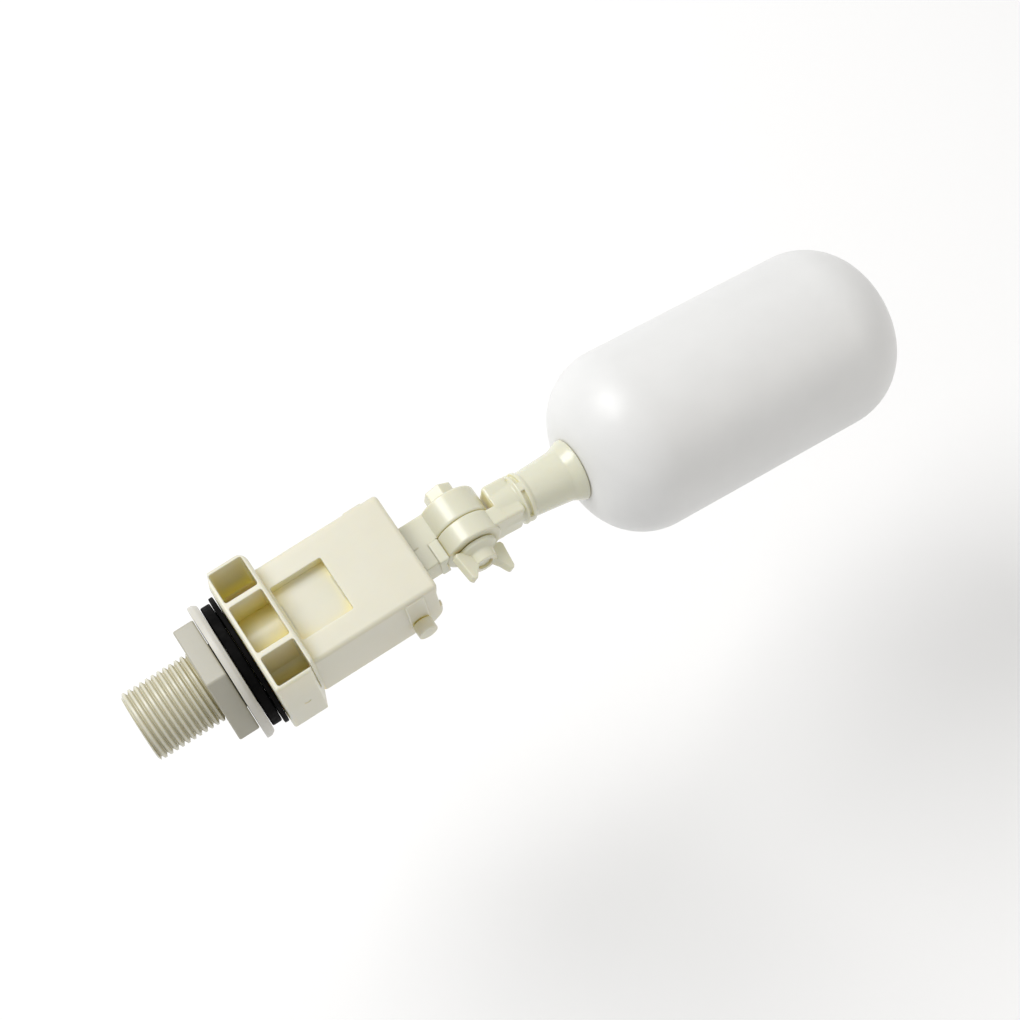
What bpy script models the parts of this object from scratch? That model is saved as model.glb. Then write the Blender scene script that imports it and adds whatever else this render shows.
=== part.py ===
"""Side-mount float valve for a water tank, built as an assembly of separate solids.

Metres, +Z up. The inlet thread, the barrel and the arm lie along X, and the float is at +X.
The origin is on the thread's axis, in the plane where the body's square flange meets the gasket.
"""

from math import cos, pi, radians, sin

import bmesh
import bpy
from mathutils import Matrix

# Inlet thread, G 1/2
THREAD_RADIUS = 0.01048
THREAD_ROOT_RADIUS = 0.00932
THREAD_PITCH = 0.001814
THREAD_END = -0.0352
THREAD_CHAMFER = 0.0007
THREAD_SEGMENTS = 24
INLET_RADIUS = 0.0070

# Square flange with cored pockets
FLANGE_LENGTH = 0.0128
FLANGE_HALF_WIDTH = 0.0197
FLANGE_TOP = 0.0200
FLANGE_BOTTOM = -0.0197
FLANGE_SIDE_BOTTOM = -0.0117
FLANGE_PLATE = 0.0014
FLANGE_BACK_WALL = 0.0012
FLANGE_SIDE_WALL = 0.0011
RIB_INNER = 0.0076
RIB_OUTER = 0.0091
POCKET_WEB = 0.0008

# Barrel, seat and valve chamber
BARREL_RADIUS = 0.0110
BARREL_END = 0.0320
SEAT_WALL_START = 0.0090
SEAT_WALL_END = 0.0110
SEAT_TIP = 0.0122
SEAT_OUTER_RADIUS = 0.0040
ORIFICE_RADIUS = 0.0025
CHAMBER_RADIUS = 0.0086

# Box that covers the barrel and carries the pivot
BOX_START = 0.0122
BOX_END = 0.0513
BOX_HALF_WIDTH = 0.0161
BOX_TOP = 0.0136
BOX_BOTTOM = -0.0097
BOX_WALL = 0.0020
BOX_EAR_RADIUS = 0.0080
WINDOW_START = 0.0136
WINDOW_END = 0.0295
WINDOW_HALF_WIDTH = 0.0088
WINDOW_WALL = 0.0015
WINDOW_FLOOR = 0.0101
STOP_BAR_START = 0.0466
STOP_BAR_END = 0.0490

# Clearance between pieces that touch on the real valve
GAP = 0.0003

# Gaskets, washer and nut on the thread
RING_HOLE_RADIUS = 0.0109
THIN_GASKET_RADIUS = 0.0197
THIN_GASKET_THICKNESS = 0.0013
THICK_GASKET_RADIUS = 0.0186
THICK_GASKET_THICKNESS = 0.0029
WASHER_RADIUS = 0.0206
WASHER_THICKNESS = 0.0027
NUT_ACROSS_FLATS = 0.0338
NUT_THICKNESS = 0.0062
NUT_TURN = radians(-9)

# Pivot pin through the box
PIVOT_X = 0.04375
PIVOT_Z = -0.0020
PIN_RADIUS = 0.00175
PIN_HOLE_RADIUS = 0.00205
PIN_HEAD_RADIUS = 0.0029
PIN_HEAD_LENGTH = 0.0037
PIN_TAIL_RADIUS = 0.0023
PIN_TAIL_LENGTH = 0.0012
PAD_HALF_LENGTH = 0.0029
PAD_HEIGHT = 0.0004

# Arm that turns on the pin, and its knuckle
ARM_LEFT = 0.0085
ARM_RIGHT = -0.0066
ARM_HALF_HEIGHT = 0.0043
HUB_RADIUS = 0.0050
HUB_HALF_WIDTH = 0.0137
NOSE_RADIUS = 0.0020
NOSE_HEIGHT = 0.0067
NOSE_BACK = -0.00135
NOSE_HALF_WIDTH = 0.0040
KNUCKLE_X = 0.0672
KNUCKLE_RADIUS = 0.0082
KNUCKLE_RELIEF_RADIUS = 0.0087
CHEEK_RIGHT = 0.0
DISC_LEFT = -0.0003
DISC_RIGHT = -0.0068
SCREW_HOLE_RADIUS = 0.0023

# Clamp screw and wing nut
SCREW_RADIUS = 0.0020
SCREW_HEAD_FLATS = 0.0078
SCREW_HEAD_LENGTH = 0.0046
SCREW_END = -0.0117
WING_HUB_RADIUS = 0.0042
WING_HUB_END = -0.0124
WING_SKIRT_RADIUS = 0.0062
WING_TIP_END = -0.0164
WING_ROOT_REACH = 0.0088
WING_TIP_OUTER = 0.0078
WING_TIP_INNER = 0.0058
WING_THICKNESS = 0.0024
WING_TURN = radians(37)

# Float stem, in its own frame: x runs out along the stem from the knuckle's axis
STEM_DROOP = radians(10.5)
NECK_START = 0.0094
NECK_RADIUS = 0.0064
COLLAR_START = 0.0167
COLLAR_END = 0.0207
COLLAR_RADIUS = 0.0074
COLLAR_GROOVE = (0.0178, 0.0190)
SOCKET_RADIUS = 0.0067
SOCKET_WIDE_RADIUS = 0.0077
SOCKET_FLARE_START = 0.0325
SOCKET_END = 0.0360
SOCKET_RIM_RADIUS = 0.0094
SOCKET_BORE_RADIUS = 0.0058
SOCKET_BORE_START = 0.0222
WEB_HALF_HEIGHT = 0.0065

# Float, in the stem's frame
FLOAT_NECK_START = 0.0232
FLOAT_NECK_RADIUS = 0.0055
FLOAT_NOSE = 0.0365
FLOAT_TAIL = 0.1407
FLOAT_NOSE_RADIUS = 0.0271
FLOAT_TAIL_RADIUS = 0.0267
FLOAT_NOSE_CORNER = 0.0195
FLOAT_TAIL_CORNER = 0.0205
FLOAT_TAIL_CROWN = 0.0010
FLOAT_WALL = 0.0013
PLUG_LENGTH = 0.0050

# Plunger inside the barrel
SEAL_START = 0.0145
SEAL_END = 0.0170
SEAL_RADIUS = 0.0045
PLUNGER_HEAD_END = 0.0190
PLUNGER_HEAD_RADIUS = 0.0058
PLUNGER_LIP_START = 0.0155
PLUNGER_GUIDE_RADIUS = 0.0082
PLUNGER_RIB_THICKNESS = 0.0022
PLUNGER_PAD_START = 0.0360
PLUNGER_END = 0.0401
PLUNGER_PAD_END = 0.0376
PLUNGER_PAD_RADIUS = 0.0070
PLUNGER_BOSS_HALF_WIDTH = 0.0045
PLUNGER_BOSS_BOTTOM = 0.0034
PLUNGER_BOSS_TOP = 0.0063

ROUND = 32
FINE_ROUND = 40

ABS_CREAM = ((0.86, 0.83, 0.70, 1), 0.38)
ABS_PALE = ((0.84, 0.83, 0.78, 1), 0.45)
THREAD_NUT = ((0.80, 0.78, 0.68, 1), 0.42)
BLACK_RUBBER = ((0.015, 0.014, 0.014, 1), 0.75)
MILKY_PE = ((0.86, 0.87, 0.87, 1), 0.50)


def clear_scene():
    for obj in list(bpy.data.objects):
        bpy.data.objects.remove(obj)


def new_collection(name):
    collection = bpy.data.collections.new(name)
    bpy.context.scene.collection.children.link(collection)
    return collection


def material(name, look):
    colour, roughness = look
    made = bpy.data.materials.new(name)
    made.use_nodes = True
    shader = made.node_tree.nodes["Principled BSDF"]
    shader.inputs["Base Color"].default_value = colour
    shader.inputs["Roughness"].default_value = roughness
    shader.inputs["Metallic"].default_value = 0.0
    return made


def adopt(obj, name):
    """Names an object that an operator has just made, and files it with the cutters until it is a part."""
    obj.name = name
    for collection in list(obj.users_collection):
        collection.objects.unlink(obj)
    CUTTERS.objects.link(obj)
    obj.hide_render = True
    obj.display_type = "WIRE"
    return obj


def part(obj, look):
    """Turns a helper into a node of the finished valve."""
    CUTTERS.objects.unlink(obj)
    PARTS.objects.link(obj)
    obj.hide_render = False
    obj.display_type = "TEXTURED"
    obj.data.materials.append(look)
    return obj


def block(name, x, y, z):
    """A box between two limits on each axis, in metres."""
    bpy.ops.mesh.primitive_cube_add(size=1)
    obj = adopt(bpy.context.object, name)
    size = Matrix.Diagonal((x[1] - x[0], y[1] - y[0], z[1] - z[0], 1))
    centre = Matrix.Translation(((x[0] + x[1]) / 2, (y[0] + y[1]) / 2, (z[0] + z[1]) / 2))
    obj.data.transform(centre @ size)
    return obj


def mesh_object(name, points, edges=(), faces=()):
    mesh = bpy.data.meshes.new(name)
    mesh.from_pydata(points, edges, faces)
    return adopt(bpy.data.objects.new(name, mesh), name)


def turned(name, outline, axis="X", centre=(0, 0, 0), steps=ROUND):
    """A solid turned about an axis from a closed outline of (distance along it, radius) points."""
    doubled_area = sum(
        a[1] * b[0] - b[1] * a[0] for a, b in zip(outline, outline[1:] + outline[:1])
    )
    if doubled_area > 0:
        outline = outline[::-1]
    on_axis = [i for i, (_, radius) in enumerate(outline) if radius == 0]
    if on_axis:
        first = next(i for i in on_axis if (i - 1) % len(outline) in on_axis)
        outline = outline[first:] + outline[:first]
    points = [(radius, 0, along) for along, radius in outline]
    edges = [(i, i + 1) for i in range(len(points) - 1)]
    if not on_axis:
        edges.append((len(points) - 1, 0))
    obj = mesh_object(name, points, edges)
    turn = obj.modifiers.new("turn", "SCREW")
    turn.axis = "Z"
    turn.steps = turn.render_steps = steps
    turn.use_merge_vertices = True
    turn.merge_threshold = 0.00001
    turn.use_smooth_shade = False
    if axis == "X":
        obj.matrix_world = Matrix.Translation(centre) @ Matrix.Rotation(pi / 2, 4, "Y")
    else:
        obj.matrix_world = Matrix.Translation(centre) @ Matrix.Rotation(-pi / 2, 4, "X")
    return obj


def rod(name, start, end, radius, axis="X", centre=(0, 0, 0), steps=ROUND):
    return turned(name, [(start, 0), (start, radius), (end, radius), (end, 0)], axis, centre, steps)


def ring(name, start, end, inner, outer, axis="X", centre=(0, 0, 0), steps=ROUND):
    return turned(
        name, [(start, inner), (start, outer), (end, outer), (end, inner)], axis, centre, steps
    )


def hexagon_prism(name, start, end, flats, axis, centre=(0, 0, 0), turn=0.0):
    """A six-sided bar, made as a cone primitive with six sides and equal ends."""
    bpy.ops.mesh.primitive_cylinder_add(
        vertices=6, radius=flats / 2 / cos(pi / 6), depth=end - start
    )
    obj = adopt(bpy.context.object, name)
    middle = Matrix.Translation((0, 0, (start + end) / 2)) @ Matrix.Rotation(turn, 4, "Z")
    lay = Matrix.Rotation(pi / 2, 4, "Y") if axis == "X" else Matrix.Rotation(-pi / 2, 4, "X")
    obj.data.transform(Matrix.Translation(centre) @ lay @ middle)
    return obj


def extruded(name, outline, low, high, axis):
    """A flat outline pushed along an axis: its points are (x, z) for Y, (y, z) for X, (x, y) for Z."""
    if axis == "Y":
        near = [(a, low, b) for a, b in outline]
        far = [(a, high, b) for a, b in outline]
    elif axis == "Z":
        near = [(a, b, low) for a, b in outline]
        far = [(a, b, high) for a, b in outline]
    else:
        near = [(low, a, b) for a, b in outline]
        far = [(high, a, b) for a, b in outline]
    count = len(outline)
    sides = [(i, (i + 1) % count, (i + 1) % count + count, i + count) for i in range(count)]
    faces = [tuple(range(count))[::-1], tuple(range(count, 2 * count))] + sides
    obj = mesh_object(name, near + far, (), faces)
    make_outward(obj.data)
    return obj


def make_outward(mesh):
    edit = bmesh.new()
    edit.from_mesh(mesh)
    bmesh.ops.recalc_face_normals(edit, faces=edit.faces)
    edit.to_mesh(mesh)
    edit.free()


def boolean(target, other, operation):
    step = target.modifiers.new(other.name, "BOOLEAN")
    step.operation = operation
    step.object = other
    step.solver = "EXACT"
    return target


def cut(target, *cutters):
    for cutter in cutters:
        boolean(target, cutter, "DIFFERENCE")
    return target


def join(target, *others):
    for other in others:
        boolean(target, other, "UNION")
    return target


def arc(centre, radius, start, end, count):
    """Points on a circle from one angle to another, both included."""
    return [
        (
            centre[0] + radius * cos(start + (end - start) * i / count),
            centre[1] + radius * sin(start + (end - start) * i / count),
        )
        for i in range(count + 1)
    ]


def threaded_bar(name, start, end, root, crest, pitch, segments):
    """A bar with a right-hand V thread from start to end along X, whose ends follow the helix."""
    turns = int((end - start) / pitch) + 1
    count = turns * segments
    points = []
    for k in range(count + segments + 1):
        angle = 2 * pi * k / segments
        x = start + pitch * k / segments
        points.append((x, root * cos(angle), root * sin(angle)))
    roots = len(points)
    for k in range(count + 1):
        angle = 2 * pi * k / segments
        x = start + pitch * (k / segments + 0.5)
        points.append((x, crest * cos(angle), crest * sin(angle)))
    faces = []
    for k in range(count):
        faces.append((k, k + 1, roots + k + 1, roots + k))
        faces.append((roots + k, roots + k + 1, k + 1 + segments, k + segments))
    tips = len(points)
    points.append((start + pitch / 2, 0, 0))
    points.append((start + pitch * turns + pitch / 2, 0, 0))
    first_loop = list(range(segments + 1)) + [roots]
    last_loop = list(range(count, count + segments + 1)) + [roots + count]
    for tip, loop in ((tips, first_loop), (tips + 1, last_loop)):
        for a, b in zip(loop, loop[1:] + loop[:1]):
            faces.append((tip, a, b))
    bar = mesh_object(name, points, (), faces)
    make_outward(bar.data)
    return bar


def thread_spigot():
    """The threaded inlet, trimmed square at both ends and chamfered at the free one."""
    bar = threaded_bar(
        "thread_bar",
        THREAD_END - 2 * THREAD_PITCH,
        3 * THREAD_PITCH,
        THREAD_ROOT_RADIUS,
        THREAD_RADIUS,
        THREAD_PITCH,
        THREAD_SEGMENTS,
    )
    tip_radius = THREAD_ROOT_RADIUS + 0.0002
    sleeve = turned(
        "thread_trim",
        [
            (THREAD_END, 0),
            (THREAD_END, tip_radius),
            (THREAD_END + THREAD_CHAMFER, THREAD_RADIUS + 0.0003),
            (FLANGE_PLATE / 2, THREAD_RADIUS + 0.0003),
            (FLANGE_PLATE / 2, 0),
        ],
    )
    return boolean(bar, sleeve, "INTERSECT")


def flange():
    """The square flange, with three pockets from above, three from below and a slanted lower back."""
    half = FLANGE_HALF_WIDTH
    foot = half - (FLANGE_SIDE_BOTTOM - FLANGE_BOTTOM)
    outline = [
        (-half, FLANGE_TOP),
        (-half, FLANGE_SIDE_BOTTOM),
        (-foot, FLANGE_BOTTOM),
        (foot, FLANGE_BOTTOM),
        (half, FLANGE_SIDE_BOTTOM),
        (half, FLANGE_TOP),
    ]
    body = extruded("flange", outline, 0, FLANGE_LENGTH, "X")
    slant = extruded(
        "flange_slant",
        [
            (FLANGE_LENGTH, -0.001),
            (FLANGE_LENGTH - 0.0043, FLANGE_BOTTOM),
            (FLANGE_LENGTH - 0.0043, FLANGE_BOTTOM - 0.002),
            (FLANGE_LENGTH + 0.002, FLANGE_BOTTOM - 0.002),
            (FLANGE_LENGTH + 0.002, -0.001),
        ],
        -half - 0.002,
        half + 0.002,
        "Y",
    )
    cut(body, slant)
    corners = {
        "front_left": [(-0.001, half - 0.0073), (-0.001, half + 0.002), (0.0024, half + 0.002)],
        "back_left": [
            (FLANGE_LENGTH - 0.0034, half + 0.002),
            (FLANGE_LENGTH + 0.001, half + 0.002),
            (FLANGE_LENGTH + 0.001, half - 0.0034),
        ],
        "back_right": [
            (FLANGE_LENGTH - 0.0037, -half - 0.002),
            (FLANGE_LENGTH + 0.001, -half - 0.002),
            (FLANGE_LENGTH + 0.001, -half + 0.0049),
        ],
    }
    for corner, triangle in corners.items():
        cut(body, extruded(f"flange_{corner}", triangle, FLANGE_BOTTOM - 0.002, 0.024, "Z"))
    along = (FLANGE_PLATE, FLANGE_LENGTH - FLANGE_BACK_WALL)
    lower_along = (FLANGE_PLATE, FLANGE_LENGTH - 0.0055)
    outer = (RIB_OUTER, half - FLANGE_SIDE_WALL)
    across = {"left": outer, "middle": (-RIB_INNER, RIB_INNER), "right": (-outer[1], -outer[0])}
    for side, y in across.items():
        cut(body, block(f"pocket_top_{side}", along, y, (POCKET_WEB, FLANGE_TOP + 0.002)))
    outer_low = (RIB_OUTER, half - 0.0045)
    across["left"] = outer_low
    across["right"] = (-outer_low[1], -outer_low[0])
    for side, y in across.items():
        depth = (FLANGE_BOTTOM - 0.002, -POCKET_WEB)
        cut(body, block(f"pocket_low_{side}", lower_along, y, depth))
    return body


def cover_box():
    """The box over the barrel: a top and two side walls, open below and at its end."""
    body = block(
        "cover", (BOX_START, BOX_END), (-BOX_HALF_WIDTH, BOX_HALF_WIDTH), (BOX_BOTTOM, BOX_TOP)
    )
    inside = BOX_HALF_WIDTH - BOX_WALL
    cut(
        body,
        block(
            "cover_inside",
            (FLANGE_LENGTH + GAP, BOX_END + 0.002),
            (-inside, inside),
            (BOX_BOTTOM - 0.002, BOX_TOP - BOX_WALL),
        ),
    )
    frame_half = WINDOW_HALF_WIDTH + WINDOW_WALL
    frame = block(
        "window_frame",
        (BOX_START, WINDOW_END + WINDOW_WALL),
        (-frame_half, frame_half),
        (0.004, BOX_TOP - BOX_WALL / 2),
    )
    window = block(
        "window",
        (WINDOW_START, WINDOW_END),
        (-WINDOW_HALF_WIDTH, WINDOW_HALF_WIDTH),
        (0.002, BOX_TOP + 0.002),
    )
    stop_bar = block(
        "stop_bar",
        (STOP_BAR_START, STOP_BAR_END),
        (-inside - 0.001, inside + 0.001),
        (BOX_BOTTOM, PIVOT_Z - ARM_HALF_HEIGHT - GAP),
    )
    floor = block(
        "window_floor",
        (BOX_START, WINDOW_END + WINDOW_WALL),
        (-frame_half, frame_half),
        (0.0042, WINDOW_FLOOR),
    )
    join(body, frame)
    cut(body, window)
    join(body, floor)
    join(body, stop_bar)
    for side in (-1, 1):
        face = side * BOX_HALF_WIDTH
        limits = sorted((face - side * 0.0005, face + side * PAD_HEIGHT))
        pad = block(
            f"pin_pad_{'left' if side > 0 else 'right'}",
            (PIVOT_X - PAD_HALF_LENGTH, PIVOT_X + PAD_HALF_LENGTH),
            limits,
            (PIVOT_Z - PAD_HALF_LENGTH, BOX_TOP - 0.001),
        )
        join(body, pad)
    corner = (BOX_END - BOX_EAR_RADIUS, BOX_BOTTOM + BOX_EAR_RADIUS)
    outline = arc(corner, BOX_EAR_RADIUS, 0, -pi / 2, 8)
    outline += [(corner[0], BOX_BOTTOM - 0.003), (BOX_END + 0.003, BOX_BOTTOM - 0.003)]
    outline += [(BOX_END + 0.003, corner[1])]
    ear = extruded("ear_round", outline, -0.020, 0.020, "Y")
    lean = extruded(
        "end_lean",
        [
            (BOX_END, BOX_TOP - 0.0012),
            (BOX_END - 0.0009, BOX_TOP - 0.0042),
            (BOX_END - 0.0009, -0.0017),
            (BOX_END + 0.003, -0.0017),
            (BOX_END + 0.003, BOX_TOP - 0.0012),
        ],
        -0.020,
        0.020,
        "Y",
    )
    return cut(body, ear, lean)


def valve_body():
    """Thread, flange, barrel and box in one moulding, bored through for the water and the plunger."""
    body = cover_box()
    join(body, flange(), rod("barrel", FLANGE_PLATE / 2, BARREL_END, BARREL_RADIUS))
    join(body, thread_spigot())
    inlet = rod("inlet_bore", THREAD_END - 0.002, SEAT_WALL_START, INLET_RADIUS)
    orifice = rod("orifice", SEAT_WALL_START - 0.001, SEAT_TIP + 0.001, ORIFICE_RADIUS)
    chamber = turned(
        "chamber",
        [
            (SEAT_TIP, 0),
            (SEAT_TIP, SEAT_OUTER_RADIUS),
            (SEAT_WALL_END, SEAT_OUTER_RADIUS),
            (SEAT_WALL_END, CHAMBER_RADIUS),
            (BARREL_END + 0.001, CHAMBER_RADIUS),
            (BARREL_END + 0.001, 0),
        ],
    )
    pin_hole = rod("pin_hole", -0.020, 0.020, PIN_HOLE_RADIUS, "Y", (PIVOT_X, 0, PIVOT_Z))
    return cut(body, inlet, orifice, chamber, pin_hole)


def thin_gasket(end):
    start = end - THIN_GASKET_THICKNESS
    return ring("gasket_thin", start, end, RING_HOLE_RADIUS, THIN_GASKET_RADIUS, steps=FINE_ROUND)


def thick_gasket(end):
    start = end - THICK_GASKET_THICKNESS
    edge = 0.0004
    return turned(
        "gasket_thick",
        [
            (start, RING_HOLE_RADIUS),
            (start, THICK_GASKET_RADIUS - edge),
            (start + edge, THICK_GASKET_RADIUS),
            (end - edge, THICK_GASKET_RADIUS),
            (end, THICK_GASKET_RADIUS - edge),
            (end, RING_HOLE_RADIUS),
        ],
        steps=FINE_ROUND,
    )


def clamp_washer(end):
    """Flat plastic washer, bevelled towards the gasket."""
    start = end - WASHER_THICKNESS
    return turned(
        "clamp_washer",
        [
            (start, RING_HOLE_RADIUS),
            (start, WASHER_RADIUS),
            (end - 0.0012, WASHER_RADIUS),
            (end, WASHER_RADIUS - 0.0008),
            (end, RING_HOLE_RADIUS),
        ],
        steps=FINE_ROUND,
    )


def lock_nut(end):
    start = end - NUT_THICKNESS
    nut = hexagon_prism("lock_nut", start, end, NUT_ACROSS_FLATS, "X", turn=NUT_TURN)
    hole = rod("nut_hole", start - 0.002, end + 0.002, RING_HOLE_RADIUS)
    return cut(nut, hole)


def pivot_pin():
    """Pin with a thick head on the right wall and a snap bead on the left one."""
    centre = (PIVOT_X, 0, PIVOT_Z)
    head = -BOX_HALF_WIDTH - PAD_HEIGHT - GAP
    tail = BOX_HALF_WIDTH + PAD_HEIGHT + GAP
    return turned(
        "pivot_pin",
        [
            (head - PIN_HEAD_LENGTH, 0),
            (head - PIN_HEAD_LENGTH, PIN_HEAD_RADIUS - 0.0005),
            (head - PIN_HEAD_LENGTH + 0.0005, PIN_HEAD_RADIUS),
            (head, PIN_HEAD_RADIUS),
            (head, PIN_RADIUS),
            (tail, PIN_RADIUS),
            (tail, PIN_TAIL_RADIUS),
            (tail + PIN_TAIL_LENGTH, PIN_RADIUS),
            (tail + PIN_TAIL_LENGTH, 0),
        ],
        "Y",
        centre,
        24,
    )


def plunger():
    """Cross-ribbed plunger: a cup for the seal, four guide ribs and the pad that the arm pushes."""
    head = turned(
        "plunger",
        [
            (SEAL_END + GAP, 0),
            (SEAL_END + GAP, SEAL_RADIUS + GAP),
            (PLUNGER_LIP_START, SEAL_RADIUS + GAP),
            (PLUNGER_LIP_START, PLUNGER_HEAD_RADIUS),
            (PLUNGER_HEAD_END, PLUNGER_HEAD_RADIUS),
            (PLUNGER_HEAD_END, 0),
        ],
    )
    rib = PLUNGER_RIB_THICKNESS / 2
    reach = PLUNGER_GUIDE_RADIUS - GAP
    along = (PLUNGER_HEAD_END - 0.001, PLUNGER_PAD_START + 0.001)
    upright = block("plunger_rib_upright", along, (-rib, rib), (-reach, reach))
    level = block("plunger_rib_level", along, (-reach, reach), (-rib, rib))
    pad = rod("plunger_pad", PLUNGER_PAD_START, PLUNGER_PAD_END, PLUNGER_PAD_RADIUS)
    boss = block(
        "plunger_boss",
        (PLUNGER_PAD_START + 0.0005, PLUNGER_END),
        (-PLUNGER_BOSS_HALF_WIDTH, PLUNGER_BOSS_HALF_WIDTH),
        (PLUNGER_BOSS_BOTTOM, PLUNGER_BOSS_TOP),
    )
    return join(head, upright, level, pad, boss)


def lever_arm():
    """Arm with its hub on the pin, the nose that pushes the plunger, and one cheek of the knuckle."""
    pivot = (PIVOT_X, 0, PIVOT_Z)
    knuckle = (KNUCKLE_X, 0, PIVOT_Z)
    height = (PIVOT_Z - ARM_HALF_HEIGHT, PIVOT_Z + ARM_HALF_HEIGHT)
    arm = block("lever_arm", (PIVOT_X, KNUCKLE_X), (ARM_RIGHT, ARM_LEFT), height)
    relief = rod(
        "knuckle_relief", -0.012, CHEEK_RIGHT, KNUCKLE_RELIEF_RADIUS, "Y", knuckle, FINE_ROUND
    )
    clear_front = block(
        "knuckle_front", (KNUCKLE_X, KNUCKLE_X + 0.010), (-0.012, CHEEK_RIGHT), (-0.02, 0.02)
    )
    cut(arm, relief, clear_front)
    hub = rod("arm_hub", -HUB_HALF_WIDTH, HUB_HALF_WIDTH, HUB_RADIUS, "Y", pivot)
    cheek = rod("arm_cheek", CHEEK_RIGHT, ARM_LEFT, KNUCKLE_RADIUS, "Y", knuckle, FINE_ROUND)
    nose_x = PIVOT_X + NOSE_BACK
    nose_z = PIVOT_Z + NOSE_HEIGHT
    outline = arc((nose_x, nose_z), NOSE_RADIUS, pi, 0, 8)
    outline += [(PIVOT_X + 0.003, PIVOT_Z), (PIVOT_X - 0.0033, PIVOT_Z)]
    nose = extruded("arm_nose", outline, -NOSE_HALF_WIDTH, NOSE_HALF_WIDTH, "Y")
    join(arm, hub, cheek, nose)
    pin_hole = rod("arm_pin_hole", -0.016, 0.016, PIN_HOLE_RADIUS, "Y", pivot, 24)
    screw_hole = rod("arm_screw_hole", -0.002, 0.010, SCREW_HOLE_RADIUS, "Y", knuckle, 24)
    return cut(arm, pin_hole, screw_hole)


def clamp_screw():
    """Screw through the knuckle, with a hexagon head on the arm's cheek."""
    centre = (KNUCKLE_X, 0, PIVOT_Z)
    start = ARM_LEFT + GAP
    end = start + SCREW_HEAD_LENGTH
    screw = hexagon_prism("clamp_screw", start, end, SCREW_HEAD_FLATS, "Y", centre, radians(12))
    shank = rod("screw_shank", SCREW_END, start + 0.001, SCREW_RADIUS, "Y", centre, 24)
    return join(screw, shank)


def wing_nut():
    """Wing nut: a short hub and two wings that stand out from it, away from the knuckle."""
    centre = (KNUCKLE_X, 0, PIVOT_Z)
    base = DISC_RIGHT - GAP
    hub = turned(
        "wing_nut",
        [
            (base, 0),
            (base, WING_SKIRT_RADIUS),
            (base - 0.0012, WING_SKIRT_RADIUS - 0.0002),
            (base - 0.0024, WING_HUB_RADIUS),
            (WING_HUB_END, WING_HUB_RADIUS - 0.0004),
            (WING_HUB_END, 0),
        ],
        "Y",
        centre,
        24,
    )
    for side in (0, pi):
        outline = [
            (0.0022, base - 0.0004),
            (WING_ROOT_REACH - 0.0006, base - 0.0004),
            (WING_ROOT_REACH, base - 0.0012),
            (WING_TIP_OUTER, WING_TIP_END + 0.0008),
            (WING_TIP_OUTER - 0.0007, WING_TIP_END),
            (WING_TIP_INNER + 0.0007, WING_TIP_END),
            (WING_TIP_INNER, WING_TIP_END + 0.0007),
            (0.0046, WING_HUB_END - 0.0016),
            (0.0022, WING_HUB_END + 0.0004),
        ]
        wing = extruded(
            f"wing_{'front' if side else 'back'}",
            outline,
            -WING_THICKNESS / 2,
            WING_THICKNESS / 2,
            "Y",
        )
        swing = Matrix.Rotation(WING_TURN + side, 4, "Y")
        wing.data.transform(Matrix.Translation(centre) @ swing @ reach_along_y())
        join(hub, wing)
    hole = rod("wing_hole", -0.020, 0, SCREW_HOLE_RADIUS, "Y", centre, 24)
    return cut(hub, hole)


def reach_along_y():
    """Turns a solid drawn in x and z so that its z runs along Y instead."""
    return Matrix(((1, 0, 0, 0), (0, 0, 1, 0), (0, -1, 0, 0), (0, 0, 0, 1)))


def float_stem():
    """Knuckle disc, neck, grooved collar and the flared socket that holds the float."""
    groove_start, groove_end = COLLAR_GROOVE
    stem = turned(
        "float_stem",
        [
            (NECK_START, 0),
            (NECK_START, NECK_RADIUS - 0.0004),
            (COLLAR_START, NECK_RADIUS),
            (COLLAR_START + 0.0006, COLLAR_RADIUS),
            (groove_start, COLLAR_RADIUS),
            (groove_start, NECK_RADIUS),
            (groove_end, NECK_RADIUS),
            (groove_end, COLLAR_RADIUS),
            (COLLAR_END - 0.0008, COLLAR_RADIUS - 0.0001),
            (COLLAR_END, SOCKET_RADIUS),
            (SOCKET_FLARE_START - 0.004, SOCKET_RADIUS + 0.0006),
            (SOCKET_FLARE_START, SOCKET_WIDE_RADIUS),
            (SOCKET_END - 0.0010, SOCKET_RIM_RADIUS - 0.0004),
            (SOCKET_END, SOCKET_RIM_RADIUS),
            (SOCKET_END, SOCKET_BORE_RADIUS),
            (SOCKET_BORE_START, SOCKET_BORE_RADIUS),
            (SOCKET_BORE_START, 0),
        ],
    )
    for angle in (0, pi / 2, pi, 3 * pi / 2):
        bridge = block(
            f"collar_bridge_{round(angle * 2 / pi)}",
            (groove_start - 0.0003, groove_end + 0.0003),
            (-0.0013, 0.0013),
            (NECK_RADIUS - 0.001, COLLAR_RADIUS - 0.0001),
        )
        bridge.data.transform(Matrix.Rotation(angle, 4, "X"))
        join(stem, bridge)
    disc = rod("stem_disc", DISC_RIGHT, DISC_LEFT, KNUCKLE_RADIUS, "Y", steps=FINE_ROUND)
    web = block(
        "stem_web",
        (0, NECK_START + 0.001),
        (DISC_RIGHT + 0.0012, DISC_LEFT),
        (-WEB_HALF_HEIGHT + 0.001, WEB_HALF_HEIGHT - 0.001),
    )
    join(stem, disc, web)
    hole = rod("stem_screw_hole", -0.012, 0.002, SCREW_HOLE_RADIUS, "Y", steps=24)
    return cut(stem, hole)


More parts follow.
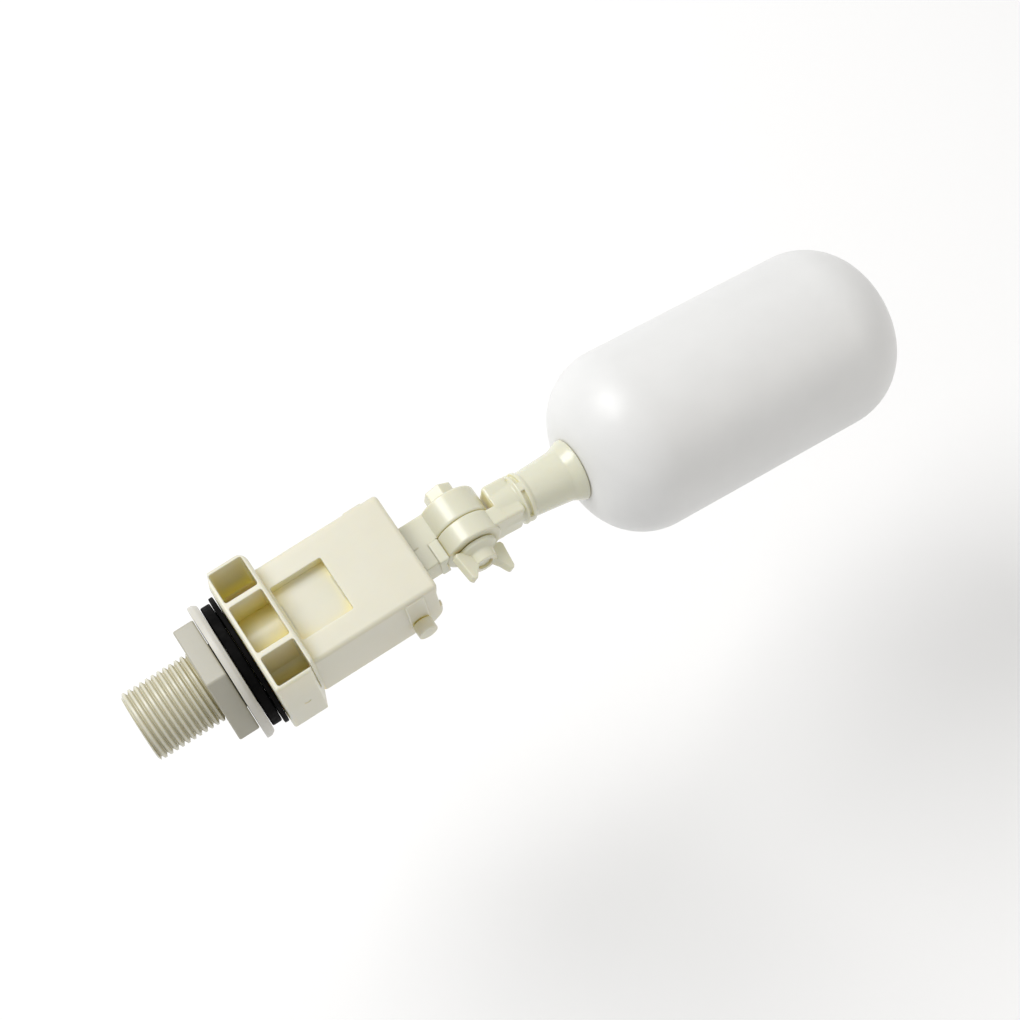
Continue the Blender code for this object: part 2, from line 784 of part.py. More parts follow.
def float_profile(offset):
    """Half outline of the float from its nose to its tail, moved inwards by an offset."""
    nose_arc = FLOAT_NOSE_CORNER - offset
    tail_arc = FLOAT_TAIL_CORNER - offset
    nose_centre = (FLOAT_NOSE + FLOAT_NOSE_CORNER, FLOAT_NOSE_RADIUS - FLOAT_NOSE_CORNER)
    tail_centre = (
        FLOAT_TAIL - FLOAT_TAIL_CROWN - FLOAT_TAIL_CORNER,
        FLOAT_TAIL_RADIUS - FLOAT_TAIL_CORNER,
    )
    nose = arc(nose_centre, nose_arc, pi, pi / 2, 8)
    tail = arc(tail_centre, tail_arc, pi / 2, 0, 8)
    return nose + tail + [(FLOAT_TAIL - offset, 0)]


def float_shell():
    """Blow-moulded hollow float with an open neck, one wall thickness all over."""
    outer = float_profile(0)
    inner = float_profile(FLOAT_WALL)[::-1]
    bore = FLOAT_NECK_RADIUS - FLOAT_WALL
    outline = [(FLOAT_NECK_START, FLOAT_NECK_RADIUS), (FLOAT_NOSE, FLOAT_NECK_RADIUS)]
    outline += outer + inner
    outline += [(FLOAT_NOSE + FLOAT_WALL, bore), (FLOAT_NECK_START, bore)]
    points = [(radius, 0, along) for along, radius in outline[::-1]]
    edges = [(i, i + 1) for i in range(len(points) - 1)] + [(len(points) - 1, 0)]
    tail_edge = next(
        (a, b) for a, b in edges if points[a][0] == 0 and points[b][0] == 0
    )
    edges.remove(tail_edge)
    obj = mesh_object("float_shell", points, edges)
    turn = obj.modifiers.new("turn", "SCREW")
    turn.axis = "Z"
    turn.steps = turn.render_steps = FINE_ROUND
    turn.use_merge_vertices = True
    turn.merge_threshold = 0.00001
    obj.matrix_world = Matrix.Rotation(pi / 2, 4, "Y")
    return obj


def float_plug():
    start = FLOAT_NECK_START + GAP
    bore = FLOAT_NECK_RADIUS - FLOAT_WALL - GAP
    return rod("float_plug", start, start + PLUG_LENGTH, bore, steps=24)


def hang_on_stem(*objects):
    """Places pieces drawn in the stem's frame: its origin is on the knuckle, and it droops."""
    stem_frame = bpy.data.objects.new("stem_frame", None)
    PARTS.objects.link(stem_frame)
    stem_frame.location = (KNUCKLE_X, 0, PIVOT_Z)
    stem_frame.rotation_euler = (0, STEM_DROOP, 0)
    for obj in objects:
        obj.parent = stem_frame
        for step in obj.modifiers:
            if step.type == "BOOLEAN":
                step.object.parent = stem_frame


clear_scene()
PARTS = new_collection("float_valve")
CUTTERS = new_collection("cutters")

cream = material("cream_abs", ABS_CREAM)
pale = material("pale_abs", ABS_PALE)
nut_plastic = material("nut_plastic", THREAD_NUT)
rubber = material("black_rubber", BLACK_RUBBER)
milky = material("milky_polyethylene", MILKY_PE)

part(valve_body(), cream).name = "valve_body"
thin_end = -GAP
thick_end = thin_end - THIN_GASKET_THICKNESS - GAP
washer_end = thick_end - THICK_GASKET_THICKNESS - GAP
nut_end = washer_end - WASHER_THICKNESS - GAP
part(thin_gasket(thin_end), rubber)
part(thick_gasket(thick_end), rubber)
part(clamp_washer(washer_end), pale)
part(lock_nut(nut_end), nut_plastic)
part(pivot_pin(), cream)
part(rod("plunger_seal", SEAL_START, SEAL_END, SEAL_RADIUS, steps=24), rubber)
part(plunger(), cream)
part(lever_arm(), cream)
part(clamp_screw(), cream)
part(wing_nut(), cream)
stem = part(float_stem(), cream)
shell = part(float_shell(), milky)
plug = part(float_plug(), milky)
hang_on_stem(stem, shell, plug)
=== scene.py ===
"""Looks of the float valve.

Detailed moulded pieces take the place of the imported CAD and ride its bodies. X runs along the
valve from the inlet's tip to the float, Z is up, and the flange's outer face is at X = 0. Shapes
are drawn in millimetres, and the floor, the lights and the camera are placed in metres.
"""

from math import cos, pi, radians, sin

import bmesh
import bpy
from mathutils import Matrix, Vector


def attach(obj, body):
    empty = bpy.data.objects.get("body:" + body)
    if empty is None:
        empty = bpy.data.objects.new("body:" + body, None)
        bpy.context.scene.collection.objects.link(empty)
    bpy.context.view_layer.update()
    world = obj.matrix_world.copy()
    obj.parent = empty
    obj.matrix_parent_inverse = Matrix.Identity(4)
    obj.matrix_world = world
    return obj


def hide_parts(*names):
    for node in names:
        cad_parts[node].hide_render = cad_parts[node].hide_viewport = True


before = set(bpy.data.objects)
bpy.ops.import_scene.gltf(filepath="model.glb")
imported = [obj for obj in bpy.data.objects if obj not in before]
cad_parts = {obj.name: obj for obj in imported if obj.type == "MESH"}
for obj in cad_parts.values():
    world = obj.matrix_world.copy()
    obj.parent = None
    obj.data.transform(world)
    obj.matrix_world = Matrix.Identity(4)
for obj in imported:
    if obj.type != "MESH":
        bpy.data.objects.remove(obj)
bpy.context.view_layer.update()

MM = 0.001
# Joint centres in metres. The stem's own frame starts on the knuckle and droops from there.
PIVOT = Vector((0.04375, 0, -0.0020))
KNUCKLE = Vector((0.0672, 0, -0.0020))
STEM_DROOP = radians(10.5)
STEM = Matrix.Translation(KNUCKLE) @ Matrix.Rotation(STEM_DROOP, 4, "Y")

# A turned piece is drawn along Z. These lay it along X, and along Y.
TURNED_ON_X = Matrix.Rotation(pi / 2, 4, "Y")
TURNED_ON_Y = Matrix.Rotation(-pi / 2, 4, "X")
CUTTERS = []

# Inlet thread G 1/2, and the spigot that carries it.
PITCH = 1.814
THREAD_ROOT = 9.45
THREAD_CREST = 10.45
THREAD_TURNS = 23
INLET_TIP = -35.2
INLET_BORE = 7.0

# Radii of the holes for the pin and the screw, of the bore that clears the thread, and of the
# knuckle's two discs.
PIN_HOLE = 2.05
SCREW_HOLE = 2.3
STACK_BORE = 10.9
DISC_RADIUS = 8.7

# Flange, whose front is at X = 0, and the cover box behind it. A window is its X span and Y span.
FLANGE_HALF = 19.7
FLANGE_DEPTH = 12.8
FLANGE_FOOT = 11.7
POCKET_FRONT = 1.4
COVER_HALF = 16.1
COVER_TOP = 13.6
COVER_FOOT = -9.7
COVER_END = 51.3
WINDOW = ((13.6, 29.5), (-8.8, 8.8))
WINDOW_RIM = ((12.2, 31.0), (-10.3, 10.3))
WINDOW_FLOOR = 10.1

# Float, in the stem's frame: where it starts and ends, how its ends are rounded, its radius at
# each end, and its wall.
FLOAT_START = 36.5
FLOAT_END = 140.7
NOSE_ROUND = 19.5
TAIL_ROUND = 20.5
NOSE_RADIUS = 27.1
TAIL_RADIUS = 26.7
FLOAT_WALL = 1.3

# The wing nut's blades, turned from level about the screw.
WING_TURN = radians(37)

# Floor, lights and camera, in metres. The camera's back vector points from the valve to it.
FLOOR_HEIGHT = -0.155
FLOOR_REACH = 3
VALVE_MIDDLE = Vector((0.07, 0, 0))
CAMERA_PLACE = (-0.0116, -0.2518, 0.6466)
CAMERA_BACK = (-0.1323, -0.3552, 0.9254)
CAMERA_ROLL = radians(32.202)


# ---------------------------------------------------------------- shapes, in millimetres
def add_mesh(name, points, edges=(), faces=()):
    mesh = bpy.data.meshes.new(name)
    mesh.from_pydata([Vector(p) * MM for p in points], edges, faces)
    obj = bpy.data.objects.new(name, mesh)
    bpy.context.scene.collection.objects.link(obj)
    return obj


def outward(obj):
    """Turns every face of a closed mesh to look out of it."""
    edit = bmesh.new()
    edit.from_mesh(obj.data)
    bmesh.ops.recalc_face_normals(edit, faces=edit.faces)
    edit.to_mesh(obj.data)
    edit.free()
    return obj


def bevel(obj, width, segments=3, angle=30):
    """Rounds the edges that are sharper than angle, in degrees."""
    made = obj.modifiers.new("round", "BEVEL")
    made.width = width * MM
    made.segments = segments
    made.limit_method = "ANGLE"
    made.angle_limit = radians(angle)
    made.use_clamp_overlap = True
    return obj


def block(name, x, y, z, r=0.0, segments=3):
    """A box between two values on each axis, with its edges rounded to r."""
    points = [(a, b, c) for a in x for b in y for c in z]
    faces = [(0, 1, 3, 2), (4, 6, 7, 5), (0, 4, 5, 1), (2, 3, 7, 6), (0, 2, 6, 4), (1, 5, 7, 3)]
    obj = outward(add_mesh(name, points, (), faces))
    return bevel(obj, r, segments) if r else obj


def round_corners(outline, r, count=5):
    """A turned outline with each corner that lies off the axis rounded to about r."""
    out = []
    size = len(outline)
    for i, corner in enumerate(outline):
        here = Vector(corner)
        if corner[1] == 0:
            out.append(corner)
            continue
        before = Vector(outline[i - 1]) - here
        after = Vector(outline[(i + 1) % size]) - here
        reach = min(r, before.length * 0.45, after.length * 0.45)
        start = here + before.normalized() * reach
        end = here + after.normalized() * reach
        for k in range(count + 1):
            t = k / count
            out.append(tuple(start * (1 - t) ** 2 + here * 2 * t * (1 - t) + end * t * t))
    return out


def lathe(name, outline, place=TURNED_ON_X, steps=96, r=0.0):
    """A solid turned from (distance along the axis, radius) points, in millimetres."""
    if r:
        outline = round_corners(outline, r)
    points = []
    rings = []
    for along, radius in outline:
        first = len(points)
        if radius <= 0:
            points.append((0, 0, along))
            rings.append([first] * steps)
            continue
        for k in range(steps):
            angle = 2 * pi * k / steps
            points.append((radius * cos(angle), radius * sin(angle), along))
        rings.append(list(range(first, first + steps)))
    faces = []
    for a, b in zip(rings, rings[1:] + rings[:1]):
        if a[0] == a[1] and b[0] == b[1]:
            continue
        for k in range(steps):
            corners = [a[k], a[(k + 1) % steps], b[(k + 1) % steps], b[k]]
            faces.append([c for i, c in enumerate(corners) if c != corners[i - 1]])
    obj = add_mesh(name, points, (), faces)
    obj.data.transform(place)
    return outward(obj)


def rod(name, start, end, radius, place=TURNED_ON_X, r=0.0, steps=96):
    outline = [(start, 0), (start, radius), (end, radius), (end, 0)]
    return lathe(name, outline, place, steps, r)


def prism(name, outline, low, high, axis="Y", r=0.0, segments=3, place=None):
    """A flat outline pushed along Y (points are x, z), X (points are y, z) or Z (points are x, y)."""
    lay = {
        "X": lambda a, b, c: (c, a, b),
        "Y": lambda a, b, c: (a, c, b),
        "Z": lambda a, b, c: (a, b, c),
    }[axis]
    count = len(outline)
    points = [lay(a, b, low) for a, b in outline] + [lay(a, b, high) for a, b in outline]
    sides = [(i, (i + 1) % count, (i + 1) % count + count, i + count) for i in range(count)]
    faces = [tuple(range(count)), tuple(range(count, 2 * count))] + sides
    obj = outward(add_mesh(name, points, (), faces))
    if place:
        obj.data.transform(place)
    return bevel(obj, r, segments, 25) if r else obj


def arc(centre, radius, start, end, count):
    """Points round a flat arc between two angles in radians."""
    return [
        (
            centre[0] + radius * cos(start + (end - start) * i / count),
            centre[1] + radius * sin(start + (end - start) * i / count),
        )
        for i in range(count + 1)
    ]


def combine(target, operation, *others):
    """Booleans of the others on the target, which settle() applies."""
    for other in others:
        step = target.modifiers.new(other.name, "BOOLEAN")
        step.operation = operation
        step.object = other
        step.solver = "EXACT"
        CUTTERS.append(other)
    return target


def join(target, *others):
    return combine(target, "UNION", *others)


def cut(target, *others):
    return combine(target, "DIFFERENCE", *others)


def on_y(centre):
    """Lays a turned piece along Y, through a point in metres."""
    return Matrix.Translation(centre) @ TURNED_ON_Y


def settle(obj, node, body, look, angle=32, replace=True, place=None):
    """Applies the modifiers, shades it smooth and puts it on its body, in place of the CAD node."""
    graph = bpy.context.evaluated_depsgraph_get()
    mesh = bpy.data.meshes.new_from_object(obj.evaluated_get(graph))
    obj.modifiers.clear()
    obj.data = mesh
    if place:
        mesh.transform(place)
    mesh.materials.clear()
    mesh.materials.append(look)
    mesh.shade_smooth()
    mesh.set_sharp_from_angle(angle=radians(angle))
    flat = obj.modifiers.new("flat_faces", "WEIGHTED_NORMAL")
    flat.keep_sharp = True
    flat.weight = 80
    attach(obj, body)
    if replace:
        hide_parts(node)
    return obj


# ---------------------------------------------------------------- materials
# How far red, green and blue light travel in cream plastic, and in the float's white one.
WARM = (1.0, 0.82, 0.5)
WHITE = (1.0, 1.0, 1.0)


def shader_of(name):
    made = bpy.data.materials.new(name)
    made.use_nodes = True
    tree = made.node_tree
    return made, tree, tree.nodes["Principled BSDF"]


def node(tree, kind, **values):
    made = tree.nodes.new(kind)
    for key, value in values.items():
        if hasattr(made, key):
            setattr(made, key, value)
        else:
            made.inputs[key.replace("_", " ")].default_value = value
    return made


def noise(tree, coords, scale, detail=4.0, rough=0.55):
    made = tree.nodes.new("ShaderNodeTexNoise")
    made.inputs["Scale"].default_value = scale
    made.inputs["Detail"].default_value = detail
    made.inputs["Roughness"].default_value = rough
    tree.links.new(coords, made.inputs["Vector"])
    return made.outputs["Fac"]


def remap(tree, value, low, high, start=0.3, end=0.7):
    made = tree.nodes.new("ShaderNodeMapRange")
    made.inputs["From Min"].default_value = start
    made.inputs["From Max"].default_value = end
    made.inputs["To Min"].default_value = low
    made.inputs["To Max"].default_value = high
    tree.links.new(value, made.inputs["Value"])
    return made.outputs["Result"]


def mix(tree, factor, a, b):
    made = tree.nodes.new("ShaderNodeMix")
    made.data_type = "RGBA"
    tree.links.new(factor, made.inputs["Factor"])
    for value, socket in ((a, made.inputs["A"]), (b, made.inputs["B"])):
        if isinstance(value, tuple):
            socket.default_value = (*value, 1)
        else:
            tree.links.new(value, socket)
    return made.outputs["Result"]


def plastic(name, light, deep, painted_recess_tone, rough, sss, reach, edge, grain, coat=0.0, through=WARM):
    """Moulded plastic: cloudy tone, painted light and shade in recesses, light through it, soft edges.

    light and deep are colours of the cloudy tone, the third colour is painted light and shade that
    ambient occlusion mixes into recesses, sss and reach set the light through the wall, edge is how far
    the shading rounds an edge in metres, and grain is how rough the surface feels.
    """
    made, tree, shader = shader_of(name)
    coords = tree.nodes.new("ShaderNodeTexCoord").outputs["Object"]
    cloudy = remap(tree, noise(tree, coords, 70, 3), 0.0, 1.0, 0.15, 0.85)
    tone = mix(tree, cloudy, light, deep)
    # Painted light and shade: ambient occlusion mixes the recess colour into corners, pockets and gaps
    # between parts.
    shade = tree.nodes.new("ShaderNodeAmbientOcclusion")
    shade.inputs["Distance"].default_value = 0.009
    shade.samples = 8
    painted_recess_mask = remap(tree, shade.outputs["AO"], 0.0, 1.0, 0.05, 0.7)
    tree.links.new(mix(tree, painted_recess_mask, painted_recess_tone, tone), shader.inputs["Base Color"])
    smudge = remap(tree, noise(tree, coords, 160, 2), rough - 0.03, rough + 0.05, 0.1, 0.9)
    tree.links.new(smudge, shader.inputs["Roughness"])
    soft = tree.nodes.new("ShaderNodeBevel")
    soft.samples = 6
    soft.inputs["Radius"].default_value = edge
    wave = node(tree, "ShaderNodeBump", Strength=0.1, Distance=0.0001)
    tree.links.new(noise(tree, coords, 60, 2), wave.inputs["Height"])
    tree.links.new(soft.outputs["Normal"], wave.inputs["Normal"])
    fine = node(tree, "ShaderNodeBump", Strength=grain * 0.5, Distance=0.00003)
    tree.links.new(noise(tree, coords, 900, 1.5, 0.5), fine.inputs["Height"])
    tree.links.new(wave.outputs["Normal"], fine.inputs["Normal"])
    tree.links.new(fine.outputs["Normal"], shader.inputs["Normal"])
    shader.inputs["IOR"].default_value = 1.5
    shader.inputs["Subsurface Weight"].default_value = sss
    shader.inputs["Subsurface Radius"].default_value = through
    shader.inputs["Subsurface Scale"].default_value = reach
    shader.inputs["Coat Weight"].default_value = coat
    shader.inputs["Coat Roughness"].default_value = 0.25
    return made


def rubber(name):
    """Black rubber, nearly matt, with a dusty tone."""
    made, tree, shader = shader_of(name)
    coords = tree.nodes.new("ShaderNodeTexCoord").outputs["Object"]
    dusty = remap(tree, noise(tree, coords, 300, 6), 0.0, 1.0, 0.4, 0.75)
    tone = mix(tree, dusty, (0.0015, 0.0014, 0.0014), (0.004, 0.0036, 0.0034))
    tree.links.new(tone, shader.inputs["Base Color"])
    tree.links.new(remap(tree, noise(tree, coords, 500, 4), 0.6, 0.85), shader.inputs["Roughness"])
    shader.inputs["Specular IOR Level"].default_value = 0.08
    fine = node(tree, "ShaderNodeBump", Strength=0.5, Distance=0.00005)
    tree.links.new(noise(tree, coords, 900, 2, 0.6), fine.inputs["Height"])
    tree.links.new(fine.outputs["Normal"], shader.inputs["Normal"])
    return made


# Each plastic's third colour is painted light and shade for its recesses: a brighter yellow on the body
# stands in for light through its walls, the lever's is yellower, and the other pieces get darker tones
# of painted shade.
CREAM = plastic(
    "ivory_abs", (0.68, 0.66, 0.55), (0.65, 0.63, 0.51), (0.98, 0.84, 0.27),
    0.32, 0.5, 0.0035, 0.0004, 0.35, 0.15,
)
ARM = plastic(
    "pale_lever_abs", (0.70, 0.69, 0.56), (0.68, 0.67, 0.52), (0.78, 0.72, 0.40),
    0.24, 0.35, 0.0030, 0.0004, 0.15, 0.3,
)
SPIGOT = plastic(
    "thread_abs", (0.64, 0.62, 0.51), (0.61, 0.59, 0.47), (0.50, 0.45, 0.26),
    0.34, 0.15, 0.0015, 0.0001, 0.35, 0.1,
)
NUT = plastic(
    "nut_abs", (0.43, 0.415, 0.35), (0.41, 0.395, 0.325), (0.42, 0.39, 0.28),
    0.38, 0.15, 0.0015, 0.0003, 0.4,
)
PALE = plastic(
    "washer_abs", (0.60, 0.585, 0.53), (0.57, 0.555, 0.50), (0.52, 0.50, 0.43),
    0.40, 0.15, 0.0015, 0.0002, 0.4,
)
MILKY = plastic(
    "milky_pe", (0.80, 0.80, 0.79), (0.76, 0.76, 0.75), (0.70, 0.70, 0.69),
    0.36, 0.4, 0.0030, 0.0003, 0.25, 0.0, WHITE,
)
RUBBER = rubber("black_rubber_mat")


# ---------------------------------------------------------------- inlet thread
def thread_spigot():
    """A helical ridge swept along X, closed at both ends, trimmed to the spigot and bored."""
    segments = 96
    start = INLET_TIP - 2 * PITCH
    # One turn's section: (part of the pitch, radius).
    section = (
        (0.0, THREAD_ROOT), (0.06, THREAD_ROOT), (0.34, THREAD_CREST),
        (0.66, THREAD_CREST), (0.94, THREAD_ROOT),
    )
    count = THREAD_TURNS * segments
    points = []
    for k in range(count + 1):
        angle = 2 * pi * k / segments
        for offset, radius in section:
            along = start + PITCH * (k / segments + offset)
            points.append((along, radius * cos(angle), radius * sin(angle)))
    width = len(section)
    faces = []
    for k in range(count):
        a, b = k * width, (k + 1) * width
        faces += [(a + i, b + i, b + i + 1, a + i + 1) for i in range(width - 1)]
        # The last rail of a turn meets the first rail of the next.
        if k + segments + 1 <= count:
            far, next_far = (k + segments) * width, (k + segments + 1) * width
            faces.append((a + width - 1, b + width - 1, next_far, far))
    tips = len(points)
    points += [(start + PITCH / 2, 0, 0), (start + PITCH * THREAD_TURNS, 0, 0)]
    first = [k * width for k in range(segments + 1)] + list(range(width - 1, 0, -1))
    last = [(count - segments + k) * width + width - 1 for k in range(segments + 1)]
    last += [count * width + i for i in range(width - 2, -1, -1)]
    for tip, loop in ((tips, first), (tips + 1, last)):
        faces += [(tip, a, b) for a, b in zip(loop, loop[1:] + loop[:1])]
    bar = outward(add_mesh("spigot", points, (), faces))
    sleeve = lathe(
        "spigot_trim",
        [(INLET_TIP, 0), (INLET_TIP, THREAD_ROOT), (-34.4, 10.8), (0.7, 10.8), (0.7, 0)],
    )
    bore = lathe(
        "spigot_bore",
        [(-37, 0), (-37, 7.9), (-35.3, 7.9), (-34.6, INLET_BORE), (3, INLET_BORE), (3, 0)],
    )
    return cut(combine(bar, "INTERSECT", sleeve), bore)


# ---------------------------------------------------------------- body
def flange():
    """The square flange with its slanted foot, cut corners and two rows of pockets."""
    half = FLANGE_HALF
    outline = [
        (-half, 20.0), (-half, -FLANGE_FOOT), (-FLANGE_FOOT, -half),
        (FLANGE_FOOT, -half), (half, -FLANGE_FOOT), (half, 20.0),
    ]
    made = prism("body", outline, 0, FLANGE_DEPTH, "X", 0.9, 4)
    slant = [(FLANGE_DEPTH, -1), (8.5, -half), (8.5, -22), (15, -22), (15, -1)]
    cut(made, prism("slant", slant, -22, 22))
    corners = {
        "front_left": [(-1, 12.4), (-1, 21.7), (2.4, 21.7)],
        "back_left": arc((9.4, 16.3), 3.4, pi / 2, 0, 10) + [(14, 16.3), (14, 22), (9.4, 22)],
        "back_right": [(9.1, -21.7), (13.8, -21.7), (13.8, -14.8)],
    }
    for name, corner in corners.items():
        cut(made, prism(name, corner, -22, 24, "Z"))
    outer = (9.1, half - 1.1)
    for y in (outer, (-7.6, 7.6), (-outer[1], -outer[0])):
        cut(made, block(f"pocket_{y[0]}", (POCKET_FRONT, 11.6), y, (0.8, 24), 0.7, 3))
    for y in ((9.1, 15.2), (-7.6, 7.6), (-15.2, -9.1)):
        cut(made, block(f"pocket_low_{y[0]}", (POCKET_FRONT, 7.3), y, (-24, -0.8), 0.7, 3))
    return made


def cover_box():
    """The box over the lever: an open foot, a rimmed window on top and a pad at each pin end."""
    cover = block("cover", (11.8, COVER_END), (-COVER_HALF, COVER_HALF), (COVER_FOOT, COVER_TOP), 1.3, 4)
    cut(cover, block("cover_inside", (13.1, 55), (-14.1, 14.1), (-14, 11.6), 0.8, 3))
    rim = block("window_rim", *WINDOW_RIM, (4, 12.8), 0.3, 2)
    cut(join(cover, rim), block("window", *WINDOW, (2, 17), 0.6, 4))
    join(cover, block("window_floor", *WINDOW_RIM, (4.2, WINDOW_FLOOR)))
    join(cover, block("stop_bar", (46.6, 49.0), (-15.1, 15.1), (COVER_FOOT, -6.6), 0.4, 2))
    for side in (-1, 1):
        y = sorted((side * 15.6, side * 16.5))
        join(cover, block(f"pad_{side}", (40.85, 46.65), y, (-4.9, 12.6), 0.35, 3))
    ear = arc((43.3, -1.7), 8, 0, -pi / 2, 24) + [(43.3, -13), (54.5, -13), (54.5, -1.7)]
    lean = [(COVER_END, 12.4), (50.4, 9.4), (50.4, -1.7), (54.5, -1.7), (54.5, 12.4)]
    return cut(cover, prism("ear", ear, -20, 20), prism("lean", lean, -20, 20))


def body():
    """Flange, cover box and barrel in one moulding, bored for the water and the pin."""
    barrel = lathe("barrel", [(0.7, 0), (0.7, 11), (32, 11), (32, 0)], r=0.5)
    made = join(flange(), cover_box(), barrel)
    chamber = [(12.2, 0), (12.2, 4), (11, 4), (11, 8.6), (31.6, 8.6), (32.4, 9.2), (33, 9.2), (33, 0)]
    return cut(
        made,
        block("window_flat", *WINDOW, (WINDOW_FLOOR, 17), 0.6, 4),
        rod("inlet", -2, 9, INLET_BORE),
        rod("orifice", 8, 13.2, 2.5),
        lathe("chamber", chamber),
        rod("pin_hole", -20, 20, PIN_HOLE, on_y(PIVOT)),
        rod("ejector", -19.9, -19.55, 1.0, on_y(Vector((0.0063, 0, 0.0015)))),
    )


# ---------------------------------------------------------------- clamp stack
def hexagon(name, start, end, flats, place, turn=0.0, r=0.4):
    """A hexagonal prism along its own axis, measured across its flats."""
    corner = flats / 2 / cos(pi / 6)
    outline = [(corner * sin(turn + k * pi / 3), corner * cos(turn + k * pi / 3)) for k in range(6)]
    return prism(name, outline, start, end, "Z", r, 4, place)


def gasket(name, start, end, radius, r):
    outline = [(start, STACK_BORE), (start, radius), (end, radius), (end, STACK_BORE)]
    return lathe(name, outline, r=r)


def flat_washer():
    """A washer with one sloped edge, on the gasket's side."""
    outline = [(-7.8, STACK_BORE), (-7.8, 20.6), (-6.3, 20.6), (-5.1, 19.8), (-5.1, STACK_BORE)]
    return lathe("flat_washer", outline, r=0.3)


def hex_nut():
    """The lock nut, with a chamfer where its bore opens towards the inlet."""
    nut = hexagon("hex_nut", -14.3, -8.1, 33.8, TURNED_ON_X, radians(9), 0.5)
    outline = [(-17, 0), (-17, 11.7), (-14.3, 11.7), (-13.5, STACK_BORE), (-6, STACK_BORE), (-6, 0)]
    return cut(nut, lathe("nut_bore", outline))


# ---------------------------------------------------------------- pin, arm and knuckle
def pin():
    """A headed pin across the cover box, with a snap lip at its far end."""
    outline = [
        (-20.5, 0), (-20.5, 2.9), (-16.8, 2.9), (-16.8, 1.75),
        (16.8, 1.75), (16.8, 2.3), (18.0, 1.75), (18.0, 0),
    ]
    return lathe("pin", outline, on_y(PIVOT), 64, 0.35)


def arm():
    """The lever: a hub on the pin, a nose that drives the plunger, and the knuckle's left cheek."""
    made = block("arm", (43.75, 67.2), (-6.6, 8.5), (-6.3, 2.3), 0.6, 4)
    join(made, block("arm_lip", (56.3, 62.0), (-7.2, -0.2), (-6.0, 2.9), 0.5, 3))
    cut(
        made,
        rod("arm_relief", -14, 0.0, DISC_RADIUS + 0.5, on_y(KNUCKLE), steps=128),
        block("arm_front", (67.2, 80), (-14, 0.0), (-20, 20)),
        prism("arm_shoulder", [(43.8, 2.6), (56.6, 2.6), (43.8, 0.9)], -8, 0.4),
    )
    nose = arc((42.4, 4.7), 2.0, pi, 0, 16) + [(46.75, -2), (40.45, -2)]
    join(
        made,
        rod("arm_hub", -13.7, 13.7, 5.0, on_y(PIVOT), 0.4),
        rod("arm_cheek", 0.0, 8.5, DISC_RADIUS, on_y(KNUCKLE), 0.7, 128),
        prism("arm_nose", nose, -4, 4, "Y", 0.3),
    )
    return cut(
        made,
        rod("arm_pin_hole", -16, 16, PIN_HOLE, on_y(PIVOT)),
        rod("arm_screw_hole", -2, 10, SCREW_HOLE, on_y(KNUCKLE)),
    )


def screw():
    head = hexagon("screw", 8.8, 13.4, 7.8, on_y(KNUCKLE), radians(-12), 0.35)
    return join(head, rod("screw_shank", -11.7, 9.8, 2.0, on_y(KNUCKLE), 0.2, 64))


def wing_nut():
    """A skirted hub and two blades, with a hole for the screw."""
    hub = [(-7.1, 0), (-7.1, 6.2), (-8.3, 6.0), (-9.5, 4.2), (-12.4, 3.8), (-12.4, 0)]
    wing = lathe("wing", hub, on_y(KNUCKLE), 64, 0.3)
    # A blade is drawn as (distance from the hub's axis, place along it).
    blade_outline = [
        (2.2, -7.5), (8.2, -7.5), (8.8, -8.3), (7.8, -15.6), (7.1, -16.4),
        (6.5, -16.4), (5.8, -15.7), (4.6, -14.0), (2.2, -12.0),
    ]
    upright = Matrix.Rotation(-pi / 2, 4, "X")
    for turn in (WING_TURN, WING_TURN + pi):
        blade = prism(f"blade_{turn:.1f}", blade_outline, -1.2, 1.2, "Y", 0.4, 3, upright)
        blade.data.transform(Matrix.Translation(KNUCKLE) @ Matrix.Rotation(turn, 4, "Y"))
        join(wing, blade)
    return cut(wing, rod("wing_hole", -22, 0, SCREW_HOLE, on_y(KNUCKLE), steps=64))


def stem():
    """The float's neck and the knuckle's right disc, drawn along X and placed by settle()."""
    outline = [
        (9.5, 0), (9.5, 6.0), (16.7, 6.4), (17.3, 7.4), (17.8, 7.4), (17.8, 6.4), (19.0, 6.4),
        (19.0, 7.4), (19.9, 7.3), (20.7, 6.7), (28.5, 7.3), (32.5, 7.7), (35.2, 9.0),
        (36.35, 9.4), (36.35, 5.8), (22.2, 5.8), (22.2, 0),
    ]
    made = lathe("stem", outline, TURNED_ON_X, 128, 0.35)
    for quarter in range(4):
        bridge = block(f"bridge_{quarter}", (17.5, 19.3), (-1.3, 1.3), (5.4, 7.3), 0.15, 2)
        bridge.data.transform(Matrix.Rotation(quarter * pi / 2, 4, "X"))
        join(made, bridge)
    disc = rod("stem_disc", -6.8, -0.2, DISC_RADIUS, TURNED_ON_Y, 0.6, 128)
    cut(disc, rod("stem_hole", -12, 2, SCREW_HOLE, TURNED_ON_Y, steps=64))
    neck = block("neck_block", (9.3, 16.9), (-6.0, 6.0), (-5.6, 5.6), 1.0, 4)
    web = block("stem_web", (4.0, 11.2), (-6.0, -0.5), (-5.7, 5.7), 0.8, 4)
    return join(made, neck, web, disc)


